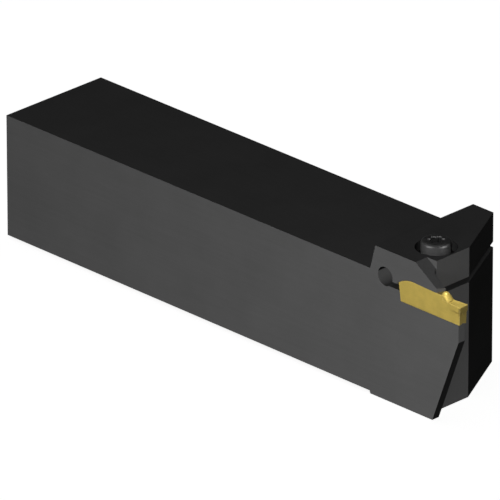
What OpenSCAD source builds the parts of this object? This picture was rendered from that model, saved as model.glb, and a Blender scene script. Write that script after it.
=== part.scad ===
// Square-shank lathe tool holder for parting and grooving, left-hand form.
// A steel bar carries a thin blade with a sprung jaw above it, and a screw closes the jaw on a
// coated carbide insert. +X points from the rear end to the cutting edge, -Y is the insert's
// side, +Z is up, and the origin is the middle of the shank's rear end face.

/* [Shank] */
// Width of the shank, from the insert's side to its back
shank_w = 32; // [25:0.5:40]
// Height of the shank
shank_h = 32; // [25:0.5:40]
// Length from the rear end to the step of the head
shank_len = 124; // [90:1:220]

/* [Head] */
// Length of the head, from its step to its front face
head_len = 18; // [17.5:0.25:30]
// Rise of the head's top above the shank's top
head_rise = 6.4; // [5.5:0.1:9]
// Drop of the head's underside below the shank's
head_drop = 0.7; // [0.2:0.1:3]
// Step of the head's back beyond the shank's back
head_side = 1.1; // [0.3:0.1:4]
// Lean of the head's steps from square
step_a = 14.4; // [0:0.2:30]
// Width of the head's square front face
front_w = 14.95; // [13:0.05:20]
// Angle that the slanted front falls back from the square one
slant_a = 28; // [15:0.5:32]

/* [Blade] */
// Thickness of the blade and of the insert's shank
blade_t = 2.25; // [1.8:0.05:2.6]
// Reach of the blade beyond the head's front face
blade_reach = 11.05; // [8:0.05:11.2]
// Height of the blade's upright front edge
blade_edge = 4.6; // [2:0.1:8]
// Reach of the blade's foot beyond the head's front face
blade_foot = 2.7; // [0.5:0.1:6]
// Radius of the corners where the blade and the finger meet the head
root_r = 1.45; // [0.8:0.05:1.8]

/* [Jaw] */
// Height of the slot that frees the jaw
slot_h = 1.45; // [1:0.05:1.8]
// Height of the slot's floor above the insert's underside
slot_up = 2.65; // [1.5:0.05:3]
// Diameter of the hole at the slot's rear end
hole_d = 4.9; // [3.5:0.1:5.5]
// Distance from the insert's rear end back to the centre of that hole
hole_back = 4.35; // [3.5:0.05:6]
// Depth of that hole's lowest line below the slot's floor
hole_dip = 0.35; // [0.1:0.05:0.6]
// Gap between the insert's rear end and the jaw
rear_relief = 0.45; // [0.3:0.05:0.8]
// Thickness of the finger that reaches over the insert
finger_t = 2.5; // [2:0.05:2.8]
// Reach of the finger beyond the head's front face
finger_reach = 4.1; // [3:0.1:5]
// Fall of the finger's top for each millimetre forward
finger_fall = 0.67; // [0.5:0.01:0.9]
// Height of the finger's nose above the insert
nose_h = 0.9; // [0.5:0.05:1.5]
// Lean of the finger's nose from square, seen from above
nose_a = 17; // [0:1:20]

/* [Insert] */
// Length of the insert
insert_len = 20.6; // [18:0.1:22]
// Reach of the cutting edge beyond the head's front face
overhang = 11.9; // [11.5:0.1:13]
// Width of the cutting edge
insert_w = 3; // [2.7:0.05:4]
// Height of the insert's clamped top at its front end
insert_h = 5.95; // [5.4:0.05:6.4]
// Depth of the rake face below the clamped top
rake_drop = 1.15; // [0.8:0.05:1.6]
// Distance from the cutting edge back to the front end of the clamped top
rake_len = 6; // [5:0.1:7]
// Lead angle of the cutting edge
lead_a = 6; // [0:0.5:10]
// Depth of the insert's underside below the shank's top
seat_depth = 5.3; // [4.5:0.1:7]
// Radius of the chip former's round top
knob_r = 0.95; // [0.7:0.05:1.1]
// Rise of the chip former above the clamped top
knob_rise = 0.75; // [0.3:0.05:0.9]
// Height of the ridge that centres the insert on the blade
vee_h = 0.35; // [0.2:0.05:0.5]

/* [Clamp screw] */
// Diameter of the screw's thread
thread_d = 5; // [4:0.5:6]
// Diameter of the screw's head
screw_head_d = 7.5; // [7:0.1:8.6]
// Height of the screw's head
screw_head_h = 4.4; // [3.5:0.1:5]
// Height of the head's top above the holder
screw_proud = 1.9; // [0.5:0.1:2.4]
// Radius round the top edge of the screw's head
screw_round = 0.7; // [0.3:0.05:1]
// Diameter of the counterbore
bore_d = 10.2; // [9.8:0.1:11]
// Distance of the screw behind the head's front face
screw_back = 5.7; // [5.5:0.1:7]
// Distance of the screw from the insert's side
screw_in = 9.65; // [9.3:0.05:10.5]
// Length of the screw below its head
screw_len = 16; // [12:0.5:22]
// Width of the socket across its lobes
socket_d = 3.9; // [3:0.1:4.2]
// Depth of the socket
socket_deep = 2.2; // [1.5:0.1:2.6]

/* [Clearances] */
// Radial clearance of the screw's thread in its hole
thread_gap = 0.05; // [0.02:0.01:0.1]
// Radial clearance of the screw's shank where it passes through the jaw
shank_gap = 0.3; // [0.1:0.05:0.5]
// Clearance beside the insert and over its hump
seat_gap = 0.1; // [0.05:0.01:0.2]

/* [Hidden] */

// The shank's faces
near_y = -shank_w / 2;
back_y = shank_w / 2;
top_z = shank_h / 2;
base_z = -shank_h / 2;

// The head's faces
front_x = shank_len + head_len;
head_top = top_z + head_rise;
head_low = base_z - head_drop;
head_back = back_y + head_side;
far_x = front_x - (head_back - near_y - front_w) * tan(slant_a);

// The insert's place: its rear end, its cutting edge, its underside and the blade's middle plane
tip_x = front_x + overhang;
rear_x = tip_x - insert_len;
seat_z = top_z - seat_depth;
mid_y = near_y + blade_t / 2;

// The insert's hump, from its rear end and its underside
rear_lean = 0.85;
hump_back = 0.1;
crest_x = 5;
crest_r = 8.5;
crest_rise = 0.28;
crest_z = insert_h + crest_rise;
crest_a = asin((crest_x - hump_back) / crest_r);
crest_steps = 8;
touch_run = 0.5;

// The insert's chip former, rake face and front
knob_x = insert_len - rake_len;
knob_flare = 0.65;
knob_base_r = blade_t / 2 + knob_flare;
knob_z = insert_h + knob_rise - knob_r;
rake_z = insert_h - rake_drop;
edge_band = 1.5;
break_z = rake_z - edge_band;
edge_fall = 0.1;
foot_back = 0.05;
foot_x = insert_len - insert_w * tan(lead_a) - foot_back;
foot_lean = 0.15;
flare_len = 4;

// The slot, its hole and the finger
slot_z = seat_z + slot_up;
hole_x = rear_x - hole_back;
hole_z = slot_z + hole_d / 2 - hole_dip;
finger_x = front_x + finger_reach;
finger_z = seat_z + insert_h;
nose_z = finger_z + nose_h;
nose_end = finger_x + finger_t;
nose_low = nose_z - finger_fall * finger_t;
slope_x = finger_x - (head_top - nose_z) / finger_fall;
relief_w = finger_t + root_r;

// The clamp screw
screw_x = front_x - screw_back;
screw_y = near_y + screw_in;
seat_under_head = head_top + screw_proud - screw_head_h;
socket_lobes = 6;
socket_turn = 15;
rib_out = 0.56;
rib_size = 0.36;
point_h = 0.6;
tap_spare = 2;

// Overlap that lets a cut pass its face, and a length beyond everything
cut = 1;
far = 400;

// Facets round a big circle, a middling one and a small one
facets = 64;
mid_facets = 48;
small_facets = 24;
dome_step = 15;
rim_step = 10;

// A prism along Y from an outline in X and Z
module along_y(y0, y1) {
    translate([0, y1, 0]) rotate([90, 0, 0]) linear_extrude(y1 - y0) children();
}

// A prism along Z from an outline in X and Y
module along_z(z0, z1) {
    translate([0, 0, z0]) linear_extrude(z1 - z0) children();
}

// The insert's round hump, from its rear end forward to its crest, raised by a clearance
function hump(gap = 0) =
    [for (i = [0 : crest_steps]) let (w = crest_a * (1 - i / crest_steps))
        [crest_x - crest_r * sin(w), crest_z + gap - crest_r * (1 - cos(w))]];

// Outline of the insert seen from its side
module insert_outline() {
    polygon(concat(
        [[rear_lean, 0]],
        hump(),
        [[knob_x, insert_h], [knob_x, rake_z], [insert_len, rake_z],
         [insert_len - edge_fall, break_z], [foot_x, break_z], [foot_x - foot_lean, 0]]));
}

// Outline of the insert seen from above: a slim shank that flares to the cutting edge
module insert_plan() {
    half = insert_w / 2;
    slim = blade_t / 2;
    lead = insert_w * tan(lead_a);
    polygon([[0, -slim], [insert_len - flare_len, -slim], [insert_len, -half],
        [insert_len - lead, half], [insert_len - flare_len, slim], [0, slim]]);
}

// A shallow ridge with a vee section along X, as wide as the blade
module vee(x0, x1) {
    translate([x0, 0, 0]) rotate([90, 0, 90]) linear_extrude(x1 - x0)
        polygon([[-blade_t / 2, 0], [blade_t / 2, 0], [0, vee_h]]);
}

// The chip former: a round post with a domed top, in front of the clamped top
module chip_former() {
    intersection() {
        translate([knob_x, 0, 0]) rotate_extrude($fn = mid_facets)
            polygon(concat(
                [[0, break_z], [knob_base_r, break_z], [knob_base_r, rake_z]],
                [for (w = [0 : dome_step : 90]) [knob_r * cos(w), knob_z + knob_r * sin(w)]]));
        translate([0, -blade_t / 2, 0]) cube([insert_len, blade_t, 2 * insert_h]);
    }
}

// Coated carbide insert: a hump that the jaw holds, a chip former and a sunk rake face
module cutting_insert() {
    color([0.83, 0.72, 0.35])
    translate([rear_x, mid_y, seat_z])
    difference() {
        union() {
            intersection() {
                along_y(-insert_w, insert_w) insert_outline();
                union() {
                    translate([0, -blade_t / 2, 0]) cube([foot_x, blade_t, break_z]);
                    along_z(break_z, 2 * insert_h) insert_plan();
                }
            }
            chip_former();
        }
        vee(-cut, insert_len + cut);
    }
}

// Outline of the pocket that the insert slides into, with room over its hump and behind it
module pocket_outline() {
    top_run = insert_h - crest_z;
    touch_x = crest_x + touch_run;
    touch_z = crest_z + top_run * (touch_x - crest_x) / (knob_x - crest_x);
    corner = hump()[0];
    polygon(concat(
        [[rear_lean, 0], [rear_lean + (corner[0] - rear_lean) * slot_up / corner[1], slot_up],
         [-rear_relief, slot_up], [-rear_relief, corner[1]]],
        hump(seat_gap),
        [[touch_x, touch_z], [knob_x, insert_h], [insert_len + cut, insert_h], [insert_len + cut, 0]]));
}

// The pocket, as deep as the insert's shank is thick, and wide open in front of the head
module insert_pocket() {
    translate([rear_x, 0, seat_z]) along_y(near_y - cut, near_y + blade_t + seat_gap) pocket_outline();
    intersection() {
        translate([rear_x, 0, seat_z]) along_y(near_y - cut, near_y + relief_w + cut) pocket_outline();
        translate([front_x, near_y - cut, base_z]) cube([far, far, far]);
    }
}

// Side outline of the blade below the insert
module blade_outline() {
    edge_x = front_x + blade_reach;
    polygon([[front_x - cut, head_low], [front_x + blade_foot, head_low], [edge_x, seat_z - blade_edge],
        [edge_x, seat_z], [front_x - cut, seat_z]]);
}

// Outline of the finger seen from above, with its leaning nose
module finger_plan() {
    lean = tan(nose_a);
    polygon([[front_x - cut, near_y], [finger_x - lean * finger_t / 2, near_y],
        [finger_x + lean * finger_t / 2, near_y + finger_t], [finger_x, near_y + relief_w],
        [front_x - cut, near_y + relief_w]]);
}

// A slab of a given thickness in front of the head, with a round corner where it meets the head
module slab(t) {
    depth = t + root_r;
    height = head_top - head_low;
    difference() {
        translate([front_x - cut, near_y, head_low]) cube([insert_len, depth, height]);
        translate([front_x + root_r, near_y + depth, head_low - cut])
            cylinder(r = root_r, h = height + 2 * cut, $fn = facets);
        translate([front_x + root_r, near_y + t, head_low - cut]) cube([far, depth, height + 2 * cut]);
    }
}

// The blade and the finger in front of the head
module blade_and_finger() {
    intersection() {
        along_y(near_y, near_y + blade_t + root_r) blade_outline();
        slab(blade_t);
    }
    intersection() {
        along_z(finger_z, head_top) finger_plan();
        slab(finger_t);
    }
}

// The head block behind its front face, with leaning steps down to the shank
module head_block() {
    run = tan(step_a);
    intersection() {
        along_y(near_y, head_back)
            polygon([[shank_len - cut, base_z], [shank_len, base_z], [shank_len + head_drop * run, head_low],
                [front_x, head_low], [front_x, head_top], [shank_len + head_rise * run, head_top],
                [shank_len, top_z], [shank_len - cut, top_z]]);
        along_z(head_low, head_top)
            polygon([[shank_len - cut, near_y], [front_x, near_y], [front_x, near_y + front_w],
                [far_x, head_back], [shank_len + head_side * run, head_back], [shank_len, back_y],
                [shank_len - cut, back_y]]);
    }
}

// The saw cut that frees the jaw, with the round hole at its rear end
module jaw_slot() {
    translate([hole_x, near_y - cut, slot_z]) cube([far, shank_w + head_side + 2 * cut, slot_h]);
    translate([hole_x, near_y - cut, hole_z]) rotate([-90, 0, 0])
        cylinder(d = hole_d, h = shank_w + head_side + 2 * cut, $fn = facets);
}

// The counterbore, the clearance hole through the jaw and the tapped hole below the slot
module screw_holes() {
    translate([screw_x, screw_y, seat_under_head]) cylinder(d = bore_d, h = far, $fn = facets);
    translate([screw_x, screw_y, slot_z + slot_h / 2])
        cylinder(d = thread_d + 2 * shank_gap, h = far, $fn = facets);
    translate([screw_x, screw_y, seat_under_head - screw_len - tap_spare])
        cylinder(d = thread_d + 2 * thread_gap, h = far, $fn = facets);
}

// One-piece steel holder
module holder_body() {
    color([0.28, 0.28, 0.28]) {
        difference() {
            union() {
                translate([0, near_y, base_z]) cube([shank_len, shank_w, shank_h]);
                head_block();
                blade_and_finger();
            }
            // Cut beside the sloped finger
            along_y(near_y - cut, near_y + relief_w)
                polygon([[slope_x, head_top], [nose_end, nose_low], [far, nose_low], [far, head_top + cut],
                    [slope_x, head_top + cut]]);
            insert_pocket();
            jaw_slot();
            screw_holes();
        }
        translate([0, mid_y, seat_z]) vee(rear_x + rear_lean, front_x + blade_reach);
    }
}

// Six-lobe outline of the socket: a circle with a round rib between each two lobes
module socket_outline() {
    difference() {
        circle(d = socket_d, $fn = mid_facets);
        for (i = [0 : socket_lobes - 1])
            rotate(socket_turn + i * 360 / socket_lobes) translate([socket_d * rib_out, 0])
                circle(d = socket_d * rib_size, $fn = small_facets);
    }
}

// Clamp screw with a rounded cylindrical head and a six-lobe socket
module clamp_screw() {
    r = screw_head_d / 2;
    color([0.2, 0.2, 0.2])
    translate([screw_x, screw_y, seat_under_head])
    difference() {
        rotate_extrude($fn = facets)
            polygon(concat(
                [[0, -screw_len], [thread_d / 2 - point_h, -screw_len], [thread_d / 2, point_h - screw_len],
                 [thread_d / 2, 0], [r, 0]],
                [for (w = [0 : rim_step : 90])
                    [r - screw_round * (1 - cos(w)), screw_head_h - screw_round * (1 - sin(w))]],
                [[0, screw_head_h]]));
        translate([0, 0, screw_head_h - socket_deep]) linear_extrude(socket_deep + cut) socket_outline();
    }
}

holder_body();
cutting_insert();
clamp_screw();
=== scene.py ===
# %% [markdown]
# # A parting and grooving tool holder
# The real object is a square steel bar for a lathe. Its head carries a thin blade, a sprung jaw,
# a small gold-coloured carbide insert and one clamp screw. The solids come ready made from the
# packed model, in metres, with +X towards the cutting edge and +Z up. We keep the holder's own
# solid, because its flat faces are right as they are, and spend the effort on the screw, the
# insert and the three finishes.

# %% Load the packed model as a fixed frame
import bpy
import numpy as np
from mathutils import Matrix, Vector


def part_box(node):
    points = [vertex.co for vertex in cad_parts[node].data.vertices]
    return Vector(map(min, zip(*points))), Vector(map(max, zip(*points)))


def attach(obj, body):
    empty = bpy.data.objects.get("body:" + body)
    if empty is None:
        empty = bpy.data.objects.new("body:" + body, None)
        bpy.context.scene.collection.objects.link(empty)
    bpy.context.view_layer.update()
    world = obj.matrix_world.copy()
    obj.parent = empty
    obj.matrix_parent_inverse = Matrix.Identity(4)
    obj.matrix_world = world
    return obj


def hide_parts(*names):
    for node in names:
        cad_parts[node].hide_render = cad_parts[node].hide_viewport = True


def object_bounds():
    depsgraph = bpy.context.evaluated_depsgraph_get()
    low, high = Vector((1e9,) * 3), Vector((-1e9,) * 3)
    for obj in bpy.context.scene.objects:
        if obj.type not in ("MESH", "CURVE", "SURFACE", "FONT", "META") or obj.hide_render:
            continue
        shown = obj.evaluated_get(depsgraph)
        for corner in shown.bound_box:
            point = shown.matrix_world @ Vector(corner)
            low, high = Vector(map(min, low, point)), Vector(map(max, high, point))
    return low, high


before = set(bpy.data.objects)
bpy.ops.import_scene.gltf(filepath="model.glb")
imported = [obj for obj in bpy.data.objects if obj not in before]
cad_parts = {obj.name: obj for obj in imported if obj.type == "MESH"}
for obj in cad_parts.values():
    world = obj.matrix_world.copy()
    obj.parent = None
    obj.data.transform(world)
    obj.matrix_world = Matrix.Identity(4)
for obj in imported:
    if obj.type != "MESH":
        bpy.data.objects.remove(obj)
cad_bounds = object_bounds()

MM = 0.001
low, high = [np.array(corner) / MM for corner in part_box("clamp_screw")]
SCREW_X, SCREW_Y = (low[:2] + high[:2]) / 2
HEAD_TOP, HEAD_R = high[2], (high[0] - low[0]) / 2
print("CAD box in mm:", [[round(v / MM, 2) for v in corner] for corner in cad_bounds])
print("screw axis at", round(SCREW_X, 2), round(SCREW_Y, 2), "head radius", round(HEAD_R, 2))

# %% [markdown]
# ## The camera
# A photograph fixes its camera: the lines of the bar meet far away, so the lens is long and the
# camera stands well back. We could aim a camera by eye and nudge it, but a fit to the corners of
# the bar gives the angles directly. We build the camera's three axes from azimuth and elevation
# and put them in its matrix, which leaves nothing to drift later.

# %% Camera from its azimuth, elevation and distance
AZIMUTH, ELEVATION, ROLL = np.radians([45.155, 24.900, -0.035])
FOCAL_PX, FRAME_PX, SENSOR_MM = 11316.7, 500, 36.0
AIM = np.array([75.0, 0.0, 0.0]) * MM
DISTANCE, OFF_RIGHT, OFF_UP = 2716.0 * MM, 5.112 * MM, 0.611 * MM


def camera_axes(azimuth, elevation, roll):
    """Back points from the object to the camera; right is level; up completes the set."""
    back = np.array([np.sin(azimuth) * np.cos(elevation), -np.cos(azimuth) * np.cos(elevation),
                     np.sin(elevation)])
    right = np.cross([0.0, 0.0, 1.0], back)
    right /= np.linalg.norm(right)
    up = np.cross(back, right)
    c, s = np.cos(roll), np.sin(roll)
    return c * right + s * up, c * up - s * right, back


right, up, back = camera_axes(AZIMUTH, ELEVATION, ROLL)
place = AIM - OFF_RIGHT * right - OFF_UP * up + DISTANCE * back
camera = bpy.data.objects.new("camera", bpy.data.cameras.new("camera"))
camera.data.sensor_width = SENSOR_MM
camera.data.lens = FOCAL_PX * SENSOR_MM / FRAME_PX
camera.matrix_world = Matrix(np.vstack([np.column_stack([right, up, back, place]), [0, 0, 0, 1]]).tolist())
bpy.context.scene.collection.objects.link(camera)
bpy.context.scene.camera = camera
print("lens in mm:", round(camera.data.lens, 1), "camera at:", np.round(place, 3))

# %% [markdown]
# ## Shader arithmetic
# Patterns such as grinding lines are sums and products of noises. Wiring each Math node by hand
# hides the formula, so we wrap a socket in a small class whose operators add the nodes for us.
# One more method makes any other node from its type, its settings and its inputs, and the masks
# that several finishes share are short methods on top of it.

# %% A socket that can be added and multiplied
class Signal:
    """One output socket. Arithmetic on it adds Math nodes to the same tree."""

    def __init__(self, tree, socket):
        self.tree, self.socket = tree, socket

    def _math(self, operation, first, second):
        """A Math node on two signals or numbers."""
        node = self.tree.nodes.new("ShaderNodeMath")
        node.operation = operation
        for slot, value in zip(node.inputs, (first, second)):
            if isinstance(value, Signal):
                self.tree.links.new(value.socket, slot)
            else:
                slot.default_value = value
        return Signal(self.tree, node.outputs[0])

    def __add__(self, other):
        return self._math("ADD", self, other)

    def __sub__(self, other):
        return self._math("SUBTRACT", self, other)

    def __rsub__(self, other):
        return self._math("SUBTRACT", other, self)

    def __mul__(self, other):
        return self._math("MULTIPLY", self, other)

    __radd__, __rmul__ = __add__, __mul__


print("operators: + - *")

# %% A finish that makes nodes, noises and masks
class Finish:
    """A material or a world under construction: node() adds a node and hands back one output."""

    def __init__(self, name, store=bpy.data.materials):
        self.made = store.new(name)
        self.made.use_nodes = True
        self.tree = self.made.node_tree
        self.tree.nodes.clear()

    def node(self, kind, settings=None, inputs=None, output=0):
        """Settings are the node's own properties and are set first. Inputs are numbers, colours or
        signals for its sockets, and output names the socket to hand back."""
        node = self.tree.nodes.new(kind)
        for key, value in (settings or {}).items():
            setattr(node, key, value)
        for key, value in (inputs or {}).items():
            if isinstance(value, Signal):
                self.tree.links.new(value.socket, node.inputs[key])
            else:
                node.inputs[key].default_value = value
        return Signal(self.tree, node.outputs[output]) if node.outputs else None

    def blend(self, factor, first, second):
        """A colour between two colours."""
        return self.node("ShaderNodeMix", {"data_type": "RGBA"}, {0: factor, 6: first, 7: second}, 2)

    def step(self, value, start, end):
        """0 before the start, 1 after the end, and straight between."""
        return self.node("ShaderNodeMapRange", {}, {"Value": value, "From Min": start, "From Max": end})

    def part(self, vector, axis):
        """The X, Y or Z of a vector."""
        return self.node("ShaderNodeSeparateXYZ", {}, {"Vector": vector}, axis)

    def on_object(self):
        """The object's own coordinates, in metres."""
        return self.node("ShaderNodeTexCoord", output="Object")

    def noise(self, stretch, detail=3.0, roughness=0.55, where=None):
        """Noise around 0, with so many bumps per unit along each axis. It lies on the object's own
        coordinates, unless another vector is given."""
        where = where or self.on_object()
        place = self.node("ShaderNodeMapping", {}, {"Vector": where, "Scale": stretch})
        return self.node("ShaderNodeTexNoise", {},
                         {"Vector": place, "Scale": 1.0, "Detail": detail, "Roughness": roughness}) - 0.5

    def about(self, x, y):
        """Distance from a vertical axis, and height, both in mm."""
        place = self.node("ShaderNodeMapping", {}, {"Vector": self.on_object(), "Scale": (1 / MM,) * 3,
                                                    "Location": (-x, -y, 0.0)})
        level = self.node("ShaderNodeVectorMath", {"operation": "MULTIPLY"}, {0: place, 1: (1.0, 1.0, 0.0)})
        radius = self.node("ShaderNodeVectorMath", {"operation": "LENGTH"}, {0: level}, "Value")
        return radius, self.part(place, "Z")

    def edges(self, radius, start, end=0.80):
        """A normal that is rounded within the radius of an edge, the true normal, and an edge mask.
        The mask grows from 0 to 1 as the cosine between the two normals falls from start to end."""
        smooth = self.node("ShaderNodeBevel", {"samples": 6}, {"Radius": radius * MM})
        flat = self.node("ShaderNodeNewGeometry", output="Normal")
        alike = self.node("ShaderNodeVectorMath", {"operation": "DOT_PRODUCT"},
                          {0: smooth, 1: flat}, "Value")
        return smooth, flat, self.step(alike, start, end)

    def bump(self, height, strength, depth, **normal):
        """A normal that follows marks of the given depth in mm."""
        return self.node("ShaderNodeBump", {}, {"Strength": strength, "Distance": depth * MM,
                                                "Height": height, **normal})

    def shell(self, **inputs):
        """The Principled shader as the surface. Keywords are its sockets' names with _ for spaces."""
        shader = self.node("ShaderNodeBsdfPrincipled", {},
                           {key.replace("_", " "): value for key, value in inputs.items()})
        self.node("ShaderNodeOutputMaterial", {}, {"Surface": shader})
        return self.made


def grey(value):
    """An opaque grey."""
    return (value, value, value, 1.0)


print("finish methods:", sorted(name for name in vars(Finish) if name[0] != "_"))

# %% [markdown]
# ## Dark ground steel
# The bar is ground flat and then treated to a dull dark grey. It scatters light much more than
# it mirrors it. We take a dark base with a weak, rough gloss, add fine grinding lines that run
# along the bar, a slow mottling from the treatment, and slightly paler edges where the finish is
# thin. The edge mask compares the surface's normal with one that is rounded over a tenth of a
# millimetre, which needs no extra geometry. Inside the screw's counterbore, within its radius and
# above the jaw's slot, everything is painted nearly black as painted shade in the recess. Faces that
# lean down and look ahead, as under the cutting edge, are painted nearly black too, as painted shade
# where they turn away from the light.

# %% Steel for the holder
BORE_R, BORE_SHADE_START, BORE_SHADE_FULL = 5.1, 16.5, 17.5
STEEL_EDGE_R = 0.12
NEARLY_BLACK = 0.05


def ground_steel(name, base, lines):
    """Base is the grey of the flats and lines is how many grinding lines cross a metre. Shade is
    0.86 plus small shares of lines, mottling and pits, and runs from a dark grey to a pale one."""
    f = Finish(name)
    streaks = f.noise((lines * 0.03, lines, lines), detail=4.0)
    mottle = f.noise((90.0, 90.0, 90.0), roughness=0.5)
    pits = f.noise((2600.0, 2600.0, 2600.0), detail=1.0)
    shade = 0.86 + streaks * 0.22 + mottle * 0.30 + pits * 0.08
    colour = f.blend(shade, grey(base * 0.45), grey(base * 1.10))

    smooth, flat, edge = f.edges(STEEL_EDGE_R, start=0.995)
    colour = f.blend(edge * 0.35, colour, grey(base * 1.9))

    # Painted shade: inside the counterbore, within its radius and above the jaw's slot, the colour goes
    # nearly black.
    radius, height = f.about(SCREW_X, SCREW_Y)
    painted_bore_shade = f.step(radius, BORE_R + 0.06, BORE_R + 0.02) * f.step(height, BORE_SHADE_START, BORE_SHADE_FULL)
    colour = f.blend(painted_bore_shade * 0.85, colour, grey(base * NEARLY_BLACK))

    # Painted shade: faces that lean down and look ahead, as under the cutting edge, go nearly black.
    leans_down = f.step(f.part(flat, "Z"), -0.22, -0.36)
    looks_ahead = f.step(f.part(flat, "X"), 0.20, 0.40)
    colour = f.blend(leans_down * looks_ahead, colour, grey(base * NEARLY_BLACK))

    normal = f.bump(streaks * 0.7 + pits * 0.3, strength=0.10, depth=0.010, Normal=smooth)
    return f.shell(Base_Color=colour, Roughness=0.55 + streaks * 0.16, Specular_IOR_Level=0.01,
                   Normal=normal)


dark_steel = ground_steel("dark_steel", base=0.094, lines=1900.0)
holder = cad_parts["holder_body"]
holder.data.materials.clear()
holder.data.materials.append(dark_steel)
print("holder finish:", dark_steel.name, "nodes:", len(dark_steel.node_tree.nodes))

# %% [markdown]
# ## Surfaces from grids
# Both small pieces are surfaces with two parameters: one runs round the piece and the other along
# it. We work out all the points at once with numpy, close the two ends at a pole, and give the
# whole array to the mesh. Faces are wound so that their normals point out.

# %% Grid to mesh
def skin(points):
    """Points is (rows, columns, 3): each row is a closed ring, and the first and last row are poles.
    A face takes a point, its neighbour along the ring, and the two points of the next ring. Next to
    a pole the face is a triangle."""
    rows, columns = points.shape[:2]
    ring = np.arange((rows - 2) * columns).reshape(rows - 2, columns) + 1
    after = np.roll(ring, -1, axis=1)
    sides = np.stack([ring[:-1], after[:-1], after[1:], ring[1:]], axis=-1).reshape(-1, 4)
    last = (rows - 2) * columns + 1
    start = np.stack([np.zeros(columns, int), after[0], ring[0]], axis=-1)
    end = np.stack([np.full(columns, last), ring[-1], after[-1]], axis=-1)
    middle = points[1:-1].reshape(-1, 3)
    vertices = np.vstack([points[0, :1], middle, points[-1, :1]])
    return vertices, [sides, start, end]


SHARP_EDGE = np.radians(38)


def piece(name, shells, material, body, node):
    """One object from several closed shells. It stands for the CAD node and rides on the body. An
    edge where the faces turn by more than the sharp angle is shaded as a crease."""
    vertices, faces, base = [], [], 0
    for points in shells:
        v, kinds = skin(points)
        vertices.append(v)
        faces += [face for kind in kinds for face in (kind + base).tolist()]
        base += len(v)
    mesh = bpy.data.meshes.new(name)
    mesh.from_pydata(np.vstack(vertices).tolist(), [], faces)
    mesh.materials.append(material)
    mesh.polygons.foreach_set("use_smooth", np.ones(len(mesh.polygons), bool))
    mesh.set_sharp_from_angle(angle=SHARP_EDGE)
    mesh.update()
    made = bpy.data.objects.new(name, mesh)
    bpy.context.scene.collection.objects.link(made)
    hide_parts(node)
    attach(made, body)
    print(name, "faces:", len(mesh.polygons), "size in mm:", [round(d / MM, 2) for d in made.dimensions])
    return made


square = np.array([[0, 0], [1, 0], [1, 1], [0, 1]], float)
box_rings = np.stack([np.column_stack([square, np.full(4, level)]) for level in (0.0, 0.0, 1.0, 1.0)])
print("faces round a box, and at its two ends:", [len(kind) for kind in skin(box_rings)[1]])

# %% [markdown]
# ## The clamp screw
# The real screw is turned, rolled and blackened: a rounded head with a six-lobe socket on a
# threaded shank. A cylinder with a boolean socket would do, but its edges stay knife sharp and
# its thread is missing. Instead we carry one profile round the axis. Each station of the profile
# knows its radius, its height and how strongly the lobes or the thread act there, so one grid
# makes tip, thread, head and socket, and it closes by itself.

# %% A profile with rounded corners
def rounded(corners, radius, steps=4):
    """Replaces each inner corner by a short curve: (1-t)^2 start + 2t(1-t) corner + t^2 end, where
    start and end lie one radius, or at most 45 percent of the side, away from the corner."""
    corners = np.asarray(corners, float)
    before, here, after = corners[:-2], corners[1:-1], corners[2:]
    inward, onward = before - here, after - here
    reach_in = np.linalg.norm(inward[:, :2], axis=1, keepdims=True)
    reach_on = np.linalg.norm(onward[:, :2], axis=1, keepdims=True)
    start = here + inward * np.minimum(radius / reach_in, 0.45)
    end = here + onward * np.minimum(radius / reach_on, 0.45)
    t = np.linspace(0.0, 1.0, steps + 1)[None, :, None]
    curve = (1 - t) ** 2 * start[:, None] + 2 * t * (1 - t) * here[:, None] + t ** 2 * end[:, None]
    return np.vstack([corners[:1], curve.reshape(-1, corners.shape[1]), corners[-1:]])


print("a rounded corner:", rounded([[0, 0], [1, 0], [1, 1]], 0.2, steps=2).round(2).tolist())

# %% Lobes and thread as functions of the angle
SOCKET_R, RIB_OUT, RIB_R, RIB_TURN, RIB_SOFT = 1.95, 2.184, 0.702, np.radians(15), 0.04
PITCH, THREAD_DEEP = 0.8, 0.42
FAR_OUT = 9.0


def lobes(angle):
    """Radius of the socket: the circle of the lobes, cut by six round ribs. A ray that leaves the
    axis at angle d from a rib's middle meets it at c cos d - sqrt(q^2 - c^2 sin^2 d). The two are
    joined by a soft minimum, which rounds the corner between them."""
    d = np.mod(angle - RIB_TURN + np.pi / 6, np.pi / 3) - np.pi / 6
    inside = RIB_R ** 2 - (RIB_OUT * np.sin(d)) ** 2
    rib = np.where(inside > 0, RIB_OUT * np.cos(d) - np.sqrt(np.maximum(inside, 0)), FAR_OUT)
    return -RIB_SOFT * np.log(np.exp(-SOCKET_R / RIB_SOFT) + np.exp(-rib / RIB_SOFT))


def thread(angle, height):
    """How deep the groove is, from 0 on the crest to 1 at the root: a triangle wave of
    height / pitch - angle / (one turn), with its top and bottom cut off."""
    phase = np.mod(height / PITCH - angle / (2 * np.pi), 1.0)
    return np.clip(np.abs(2 * phase - 1) * 1.7 - 0.35, 0.0, 1.0)


turn = np.linspace(0, 2 * np.pi, 361)
print("socket radius in mm, from", lobes(turn).min().round(2), "to", lobes(turn).max().round(2))
print("thread pitch and groove depth in mm:", PITCH, THREAD_DEEP)

# %% The whole screw on one grid
HEAD_H, RIM_R, UNDER_R, NECK_R, THREAD_R, CORE_R = 4.4, 0.85, 0.25, 2.4, 2.5, 2.15
TIP, THREAD_START, THREAD_END = -20.4, -19.7, -6.2
MOUTH_R, CHAMFER_OUT, CHAMFER_DOWN, SOCKET_EDGE_R = 2.75, 0.13, 0.16, 0.05
SOCKET_FLOOR, DRILL_R, DRILL_TOP, DRILL_POINT = -2.0, 1.1, -2.2, -2.5


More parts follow.
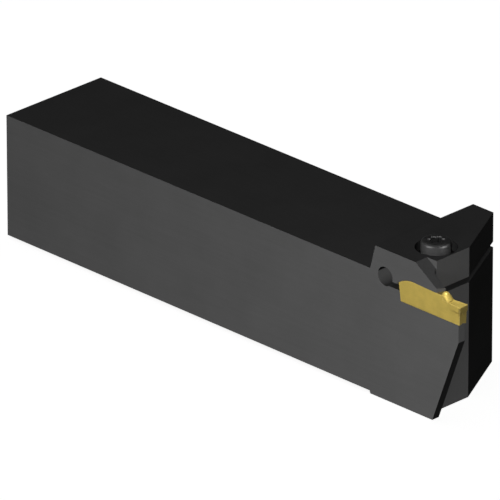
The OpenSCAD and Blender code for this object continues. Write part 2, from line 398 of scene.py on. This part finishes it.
def screw_surface(columns=144):
    """Stations are (radius, height, lobe share, thread share), from the tip to the socket's floor.
    A point's radius is radius - thread share * depth * groove, and in the socket it is
    radius * lobes(angle) / socket radius. Height is measured down from the top of the head."""
    seat = -HEAD_H
    shank = np.arange(THREAD_START, THREAD_END, PITCH / 9)
    grip = np.clip(np.minimum((shank - THREAD_START) / PITCH, (THREAD_END - shank) / PITCH), 0, 1)
    tail = np.array([[0, TIP, 0, 0], [1.5, TIP, 0, 0], [2.1, TIP + 0.5, 0, 0]], float)
    body = np.column_stack([np.interp(grip, [0, 1], [CORE_R, THREAD_R]), shank, 0 * shank, grip])
    neck = np.array([[CORE_R, THREAD_END + 0.1, 0, 0], [CORE_R, seat - 0.25, 0, 0], [NECK_R, seat, 0, 0]])
    side = rounded([[NECK_R, seat, 0, 0], [HEAD_R, seat, 0, 0], [HEAD_R, seat + 1.5, 0, 0]], UNDER_R)
    t = np.linspace(0, np.pi / 2, 9)
    rim = np.column_stack([HEAD_R - RIM_R * (1 - np.cos(t)), -RIM_R * (1 - np.sin(t)), 0 * t, 0 * t])
    mouth = rounded([[MOUTH_R, 0, 0, 0], [SOCKET_R + CHAMFER_OUT, 0, 1, 0], [SOCKET_R, -CHAMFER_DOWN, 1, 0],
                     [SOCKET_R, SOCKET_FLOOR, 1, 0], [DRILL_R, DRILL_TOP, 1, 0], [0, DRILL_POINT, 1, 0]],
                    SOCKET_EDGE_R)
    stations = np.vstack([tail, body, neck, side[1:], rim, mouth])
    radius, height, lobed, threaded = stations.T[:, :, None]
    angle = np.linspace(0, 2 * np.pi, columns, endpoint=False)[None, :]
    r = radius - threaded * THREAD_DEEP * thread(angle, height)
    r = r * (1 + lobed * (lobes(angle) / SOCKET_R - 1))
    z = HEAD_TOP + height + 0 * angle
    return np.stack([SCREW_X + r * np.cos(angle), SCREW_Y + r * np.sin(angle), z], axis=-1) * MM


screw_grid = screw_surface()
print("screw grid:", screw_grid.shape)

# %% [markdown]
# ## Black, glossy steel for the screw
# A blackened screw is smoother than the holder. It is dark where nothing bright faces it and
# shows crisp lights on its rounded rim. The black is an oxide and not bare metal, so we give it a
# dark colour, a clear gloss and a low roughness, with turning marks that run round its own axis,
# read from the distance to that axis.

# %% Steel for the screw
SOCKET_SHADE_R, SOCKET_SHADE_FROM, SOCKET_SHADE_FULL = 2.15, 0.25, 0.45


def blackened_steel(name, base):
    """Turning marks are a noise of the distance from the screw's axis, plus fine speckle. The socket
    below its mouth is painted nearly black, as painted shade in the recess."""
    f = Finish(name)
    radius, height = f.about(SCREW_X, SCREW_Y)
    ring = f.node("ShaderNodeCombineXYZ", {}, {0: radius, 1: height})
    marks = f.noise((6.0, 6.0, 6.0), detail=2.0, roughness=0.5, where=ring)
    speckle = f.noise((2200.0, 2200.0, 2200.0), detail=2.0)
    colour = f.blend(0.5 + speckle * 0.6 + marks * 0.5, grey(base * 0.7), grey(base * 1.3))
    # Painted shade: the socket below its mouth goes nearly black.
    painted_socket_shade = f.step(radius, SOCKET_SHADE_R, SOCKET_SHADE_R - 0.10) * f.step(
        height, HEAD_TOP - SOCKET_SHADE_FROM, HEAD_TOP - SOCKET_SHADE_FULL)
    colour = f.blend(painted_socket_shade * 0.80, colour, grey(base * NEARLY_BLACK))
    return f.shell(Base_Color=colour, Roughness=0.32 + speckle * 0.10, Specular_IOR_Level=0.3,
                   Normal=f.bump(marks, strength=0.12, depth=0.010))


black_steel = blackened_steel("black_steel", base=0.054)
screw = piece("clamp_screw_turned", [screw_grid], black_steel, "screw", "clamp_screw")

# %% [markdown]
# ## The carbide insert
# The real insert is pressed and ground: a slim shank with a hump that the jaw holds, a vee groove
# below that centres it, a chip former, and a wider front that carries the cutting edge. We loft a
# rectangle's outline from the rear end to the front. Width, top and both ends are functions of
# where the point sits in the outline, so the flare, the relief below the edge and the dished rake
# face all come out of one grid.

# %% The insert's own sizes
low, high = [np.array(corner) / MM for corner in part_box("cutting_insert")]
LENGTH, TIP_X, SEAT_Z = 20.6, high[0], low[2]
EDGE_HALF, SLIM_HALF, FLARE = 1.5, 1.125, 4.0
MID_Y = low[1] + EDGE_HALF
TOP, CREST, CREST_X, CREST_R = 5.95, 6.23, 5.0, 8.5
HUMP_BACK, FOOT_BACK, CORNER = 0.10, 0.85, 0.035
KNOB_X, RAKE_Z, BREAK_Z, VEE, LEAD = 14.6, 4.8, 3.3, 0.35, np.tan(np.radians(6))
DISH, LAND = 0.16, 0.25
print("insert: tip at", round(TIP_X, 2), "seat at", round(SEAT_Z, 2), "middle at", round(MID_Y, 3))

# %% Outline, width and top
def ring_table(rows=22, columns=15):
    """The outline as (across, up) from -1 to 1 and 0 to 1, with its four corners taken off by a
    few hundredths: near side up, top, far side down, then the underside back to the start."""
    up = np.concatenate([[0.0], np.linspace(0.012, 0.985, rows), [1.0]])
    inner = np.linspace(-1 + CORNER, 1 - CORNER, columns)[1:-1]
    near = np.column_stack([np.full(len(up), -1.0), up])
    near[[0, -1], 0] = -1 + CORNER
    top = np.column_stack([inner, np.ones_like(inner)])
    under = np.column_stack([inner[::-1], np.zeros_like(inner)])
    return np.vstack([near, top, near[::-1] * [-1, 1], under])


def soft(low_end, high_end, value):
    """0 below the low end, 1 above the high end, and 3t^2 - 2t^3 between."""
    t = np.clip((value - low_end) / (high_end - low_end), 0, 1)
    return t * t * (3 - 2 * t)


def half_width(x, z):
    """Slim along the shank. Over the last millimetres it widens to the edge, but only above the
    relief, which fades out just below the edge's band."""
    flare = np.clip((x - LENGTH + FLARE) / FLARE, 0, 1) * soft(BREAK_Z - 0.25, BREAK_Z, z)
    return SLIM_HALF + (EDGE_HALF - SLIM_HALF) * flare


def top_height(x, across, ahead):
    """A circle of the hump's radius up to its crest, then a straight fall to the chip former. Ahead
    of that is the rake face, with a shallow dish that leaves a narrow land along the edge."""
    hump = CREST - CREST_R + np.sqrt(CREST_R ** 2 - (np.minimum(x, CREST_X) - CREST_X) ** 2)
    flat = CREST + (TOP - CREST) * (x - CREST_X) / (KNOB_X - CREST_X)
    dish = np.sin(np.pi * np.clip((x - KNOB_X) / (LENGTH - KNOB_X - LAND), 0, 1)) * (1 - across ** 2)
    return np.where(ahead, RAKE_Z - DISH * dish, np.where(x < CREST_X, hump, flat))


print("outline points:", len(ring_table()), "half width at the edge:", half_width(LENGTH, RAKE_Z))

# %% The insert on one grid
CAP = np.array([0.0, 0.35, 0.75, 0.96])
EDGE_LEAN, RELIEF_BACK, RELIEF_LEAN = 0.10, 0.05, 0.15


def insert_surface():
    """x runs from rear(up) to the chip former over the steps 0 to 1, and from there to
    front(across, up) over the steps 1 to 2, so that the step down between them is one clean row.
    y = across * half width. z runs from the vee groove, highest in the middle, up to the top. At
    both ends the outline shrinks to its middle, which closes the surface."""
    ring = ring_table()
    across, up = ring[:, 0][None], ring[:, 1][None]
    behind = np.concatenate([0 * CAP, np.linspace(0, 0.36, 22), np.linspace(0.40, 1.0, 16)])
    front = np.concatenate([[1.0], np.linspace(1.03, 1.955, 24), [1.985, 2.0], 0 * CAP + 2.0])
    steps = np.concatenate([behind, front])[:, None]
    ahead = np.repeat([False, True], [len(behind), len(front)])[:, None]
    shrink = np.concatenate([CAP, np.ones(len(steps) - 2 * len(CAP)), CAP[::-1]])[:, None]
    across, up = across * shrink, 0.5 + (up - 0.5) * shrink
    height = up * RAKE_Z
    rear_end = FOOT_BACK + (HUMP_BACK - FOOT_BACK) * up
    edge_end = LENGTH - (across + 1) * EDGE_HALF * LEAD - EDGE_LEAN * (1 - up)
    foot_end = LENGTH - 2 * EDGE_HALF * LEAD - RELIEF_BACK - RELIEF_LEAN * (1 - height / BREAK_Z)
    front_end = foot_end + (edge_end - foot_end) * soft(BREAK_Z - 0.3, BREAK_Z, height)
    to_knob, past_knob = np.minimum(steps, 1), np.maximum(steps - 1, 0)
    x = rear_end + to_knob * (KNOB_X - rear_end) + past_knob * (front_end - KNOB_X)
    floor = VEE * (1 - np.abs(across))
    z = floor + up * (top_height(x, across, ahead) - floor)
    y = across * half_width(x, z)
    return np.stack([TIP_X - LENGTH + x, MID_Y + y, SEAT_Z + z], axis=-1) * MM


insert_grid = insert_surface()
print("insert grid:", insert_grid.shape)

# %% [markdown]
# ## The chip former
# The knob behind the rake face curls the chip and breaks it. It is pressed in one with the insert.
# A sphere and a cone could be joined by a boolean, but a profile carried round a vertical axis
# needs none: the arc leaves the dome exactly where it points down the cone's side, so the shape
# has no waist. It stays a shell of its own inside the insert's object.

# %% The chip former on one grid
DOME_R, DOME_FOOT_R, RISE = 0.95, 1.775, 0.75
BASE_R, BASE_DEEP = 0.4, 0.2
FLUSH, TUCKED_IN = 0.995, 0.86
KNOB_AT = TIP_X - LENGTH + KNOB_X


def chip_former_surface(columns=72):
    """A dome that runs smoothly into a cone. The cone's side starts at the angle where the dome's
    tangent meets the foot: acos(dome radius / distance to the foot) - atan(drop / foot radius). The
    sides are cut flat by limiting y to the shank's half width, and a little less in the rear half,
    which lies inside the shank."""
    dome_z = TOP + RISE - DOME_R
    drop = dome_z - RAKE_Z
    leave = np.arccos(DOME_R / np.hypot(DOME_FOOT_R, drop)) - np.arctan2(drop, DOME_FOOT_R)
    t = np.linspace(np.pi / 2, leave, 10)
    dome = np.column_stack([DOME_R * np.cos(t), dome_z + DOME_R * np.sin(t)])
    cone = np.linspace(dome[-1], [DOME_FOOT_R, RAKE_Z], 8)[1:]
    base = np.array([[BASE_R, RAKE_Z - BASE_DEEP], [0.0, RAKE_Z - BASE_DEEP]])
    profile = np.vstack([dome, cone, base])[::-1]
    angle = np.linspace(0, 2 * np.pi, columns, endpoint=False)[None]
    r, z = profile[:, :1], profile[:, 1:] + 0 * angle
    limit = SLIM_HALF * np.where(np.cos(angle) > -0.01, FLUSH, TUCKED_IN)
    y = np.clip(r * np.sin(angle), -limit, limit)
    return np.stack([KNOB_AT + r * np.cos(angle), MID_Y + y, SEAT_Z + z], axis=-1) * MM


former_grid = chip_former_surface()
print("chip former grid:", former_grid.shape, "top in mm:", round(former_grid[..., 2].max() / MM, 2))

# %% [markdown]
# ## The gold-coloured coating
# The coating is a few thousandths of a millimetre thick and follows the ground surface below it,
# so it is a satin metal with a yellow base. Fine grinding marks run along the insert, and the
# tone drifts a little, as a vapour coating does. The drift goes into the colour and the marks
# into roughness and bump.

# %% Coating for the insert
COATING_EDGE_R = 0.08
EDGE_Z = SEAT_Z + RAKE_Z


def gold_coating(name, base):
    """Base colour times a slow drift, with grinding marks that are long in X and fine across it. The
    relief below the cutting edge is painted darker, as painted shade, and the top behind the chip
    former is painted darker too, as the painted shadow of the jaw. The edges are painted paler, as
    a painted highlight along them."""
    f = Finish(name)
    marks = f.noise((260.0, 6500.0, 6500.0))
    drift = f.noise((420.0, 420.0, 420.0), detail=2.0)
    deep, pale = [tuple(c * share for c in base) + (1.0,) for share in (0.80, 1.16)]
    colour = f.blend(0.5 + drift + marks * 0.5, deep, pale)

    along, height = [f.part(f.on_object(), axis) * (1 / MM) for axis in "XZ"]
    # Painted shade: the relief below the cutting edge is darkened.
    relief = f.step(along, TIP_X - 0.62, TIP_X - 0.50) * f.step(height, EDGE_Z - 0.10, EDGE_Z - 0.30)
    colour = f.blend(relief * 0.45, colour, (0.06, 0.05, 0.03, 1.0))

    smooth, flat, edge = f.edges(COATING_EDGE_R, start=0.99)
    # Painted shadow of the jaw: upward faces behind the chip former are darkened.
    painted_jaw_shadow = f.step(along, KNOB_AT - 0.45, KNOB_AT - 0.85) * f.step(f.part(flat, "Z"), 0.75, 0.92)
    colour = f.blend(painted_jaw_shadow * 0.85, colour, (0.05, 0.04, 0.02, 1.0))
    # Painted highlight: the edges are made paler.
    colour = f.blend(edge * 0.55, colour, (0.95, 0.82, 0.42, 1.0))

    normal = f.bump(marks, strength=0.15, depth=0.008, Normal=smooth)
    return f.shell(Base_Color=colour, Metallic=0.40, Roughness=0.38 + marks * 0.16,
                   Specular_IOR_Level=0.3, Normal=normal)


gold = gold_coating("gold_coating", base=(0.56, 0.42, 0.099))
insert = piece("insert_ground", [insert_grid, former_grid], gold,
               "holder", "cutting_insert")

# %% [markdown]
# ## The lamps
# The photograph has one broad, low light from the camera's left and no shadow on the tool itself.
# One strong lamp would throw the blade's shadow over the front, so most of the key light casts
# none and a weak share of it does. A level lamp behind reaches only the faces that the photograph
# doesn't show, so that they can be judged too. Two lamps for gloss draw the lights on the screw's
# rim, and a card over the insert brightens its rake face. All of these are linked to the tool, and
# an overhead light reaches the floor as well.

# %% Lamps
HEAD = Vector((0.145, -0.010, 0.005))
KEY_WAY = (0.460, -0.864, 0.105)
RIM_SIZE, RIM_FACTOR = (0.40, 0.55), 1.60
OVERHEAD, OVERHEAD_SPREAD = 0.07, np.radians(70)


def lamp(name, direction, distance, size, factor, only, diffuse=True, glossy=True, shadow=True):
    """Power = factor * pi^2 * distance^2, so that at factor 1 a matt face that looks straight at the
    lamp shows its own colour. Direction is from the head to the lamp. Only lists the pieces that the
    lamp lights, so the floor stays evenly white."""
    direction = np.array(direction) / np.linalg.norm(direction)
    light = bpy.data.lights.new(name, "AREA")
    light.shape, light.size, light.size_y = "RECTANGLE", size[0], size[1]
    light.energy = factor * np.pi ** 2 * distance ** 2
    light.use_shadow = shadow
    made = bpy.data.objects.new(name, light)
    made.location = HEAD + Vector(direction * distance)
    made.rotation_mode = "QUATERNION"
    made.rotation_quaternion = Vector(direction).to_track_quat("Z", "Y")
    made.visible_camera, made.visible_diffuse, made.visible_glossy = False, diffuse, glossy
    bpy.context.scene.collection.objects.link(made)
    made.light_linking.receiver_collection = bpy.data.collections.new(name + "_on")
    for lit in only:
        made.light_linking.receiver_collection.objects.link(lit)
    print(name, "at", [round(v, 3) for v in made.location], "power in W:", round(light.energy, 2))
    return made


tool = [holder, screw, insert]
lamp("key_light", KEY_WAY, 0.60, (0.10, 0.10), 0.86, tool, glossy=False, shadow=False)
lamp("key_shadow", KEY_WAY, 0.60, (0.20, 0.20), 0.15, tool, glossy=False)
lamp("back_light", (-0.70, 0.70, 0.0), 0.80, (0.30, 0.02), 0.85, tool, glossy=False, shadow=False)
lamp("rim_left", (-0.18, -0.974, 0.26), 0.60, RIM_SIZE, RIM_FACTOR, [screw], diffuse=False)
lamp("rim_right", (0.977, 0.176, 0.26), 0.60, RIM_SIZE, RIM_FACTOR, [screw], diffuse=False)
lamp("insert_card", (0.18, -0.30, 0.93), 0.40, (0.25, 0.25), 1.35, [insert])

sky = bpy.data.lights.new("overhead", "SUN")
sky.energy, sky.angle = OVERHEAD * np.pi, OVERHEAD_SPREAD
overhead = bpy.data.objects.new("overhead", sky)
overhead.visible_glossy = False
bpy.context.scene.collection.objects.link(overhead)
print("overhead sun, strength", round(sky.energy, 3))

# %% [markdown]
# ## White floor and background
# The tool stands on plain white. A white floor that is lit to white would send much light back at
# the tool, so the camera and the other rays see different things: the camera meets a surface whose
# own glow makes up what the overhead light leaves short of white, and other rays meet a dim grey.
# The overhead light still gives the floor a faint shadow under the tool.

# %% Which rays see the white
GLOSS_SHARE = 0.05


def white_share(f):
    """1 to the camera, a small share to the rays that metal or glass sends on, and 0 to the rest. The
    share is small because the photograph's dark steel mirrors hardly any of its white surroundings."""
    seen, glossy, through = [f.node("ShaderNodeLightPath", output=f"Is {kind} Ray")
                             for kind in ("Camera", "Glossy", "Transmission")]
    return seen + (glossy + through) * GLOSS_SHARE


print("share of the white in gloss:", GLOSS_SHARE)

# %% Floor
FLOOR_SIZE, FLOOR_MIDDLE_X = 30.0, 0.075
FLOOR_Z = cad_bounds[0].z - 0.02 * MM


def floor_finish():
    """To the camera: matt white plus its own light, so that both add up to white outside the shadow.
    To all other rays: a dim grey, with a little of the white for gloss."""
    f = Finish("floor_white")
    glow = f.node("ShaderNodeEmission", {}, {"Color": grey(1.0), "Strength": 1.0 - OVERHEAD})
    matt = f.node("ShaderNodeBsdfDiffuse", {}, {"Color": grey(1.0)})
    white = f.node("ShaderNodeAddShader", {}, {0: glow, 1: matt})
    dim = f.node("ShaderNodeBsdfDiffuse", {}, {"Color": grey(0.03)})
    surface = f.node("ShaderNodeMixShader", {}, {0: white_share(f), 1: dim, 2: white})
    f.node("ShaderNodeOutputMaterial", {}, {"Surface": surface})
    return f.made


def floor_surface(size, height):
    """A flat square at the given height: (across, along) from -1 to 1, times half the size."""
    corners = np.array([[-1, -1], [1, -1], [1, 1], [-1, 1]]) * size / 2
    return np.column_stack([corners + [FLOOR_MIDDLE_X, 0.0], np.full(4, height)])


mesh = bpy.data.meshes.new("floor")
mesh.from_pydata(floor_surface(FLOOR_SIZE, FLOOR_Z).tolist(), [], [[0, 1, 2, 3]])
mesh.materials.append(floor_finish())
floor = bpy.data.objects.new("floor", mesh)
bpy.context.scene.collection.objects.link(floor)
print("floor height in mm:", round(FLOOR_Z / MM, 2))

# %% World and view
def studio_world():
    """White to the camera, a little of it to glossy rays, and nearly black to every other ray."""
    f = Finish("studio", bpy.data.worlds)
    white = f.node("ShaderNodeBackground", {}, {"Color": grey(1.0), "Strength": 1.0})
    dim = f.node("ShaderNodeBackground", {}, {"Color": grey(1.0), "Strength": 0.008})
    surface = f.node("ShaderNodeMixShader", {}, {0: white_share(f), 1: dim, 2: white})
    f.node("ShaderNodeOutputWorld", {}, {"Surface": surface})
    return f.made


bpy.context.scene.world = studio_world()
bpy.context.scene.view_settings.view_transform = "Standard"
print("world:", bpy.context.scene.world.name, "view:", bpy.context.scene.view_settings.view_transform)
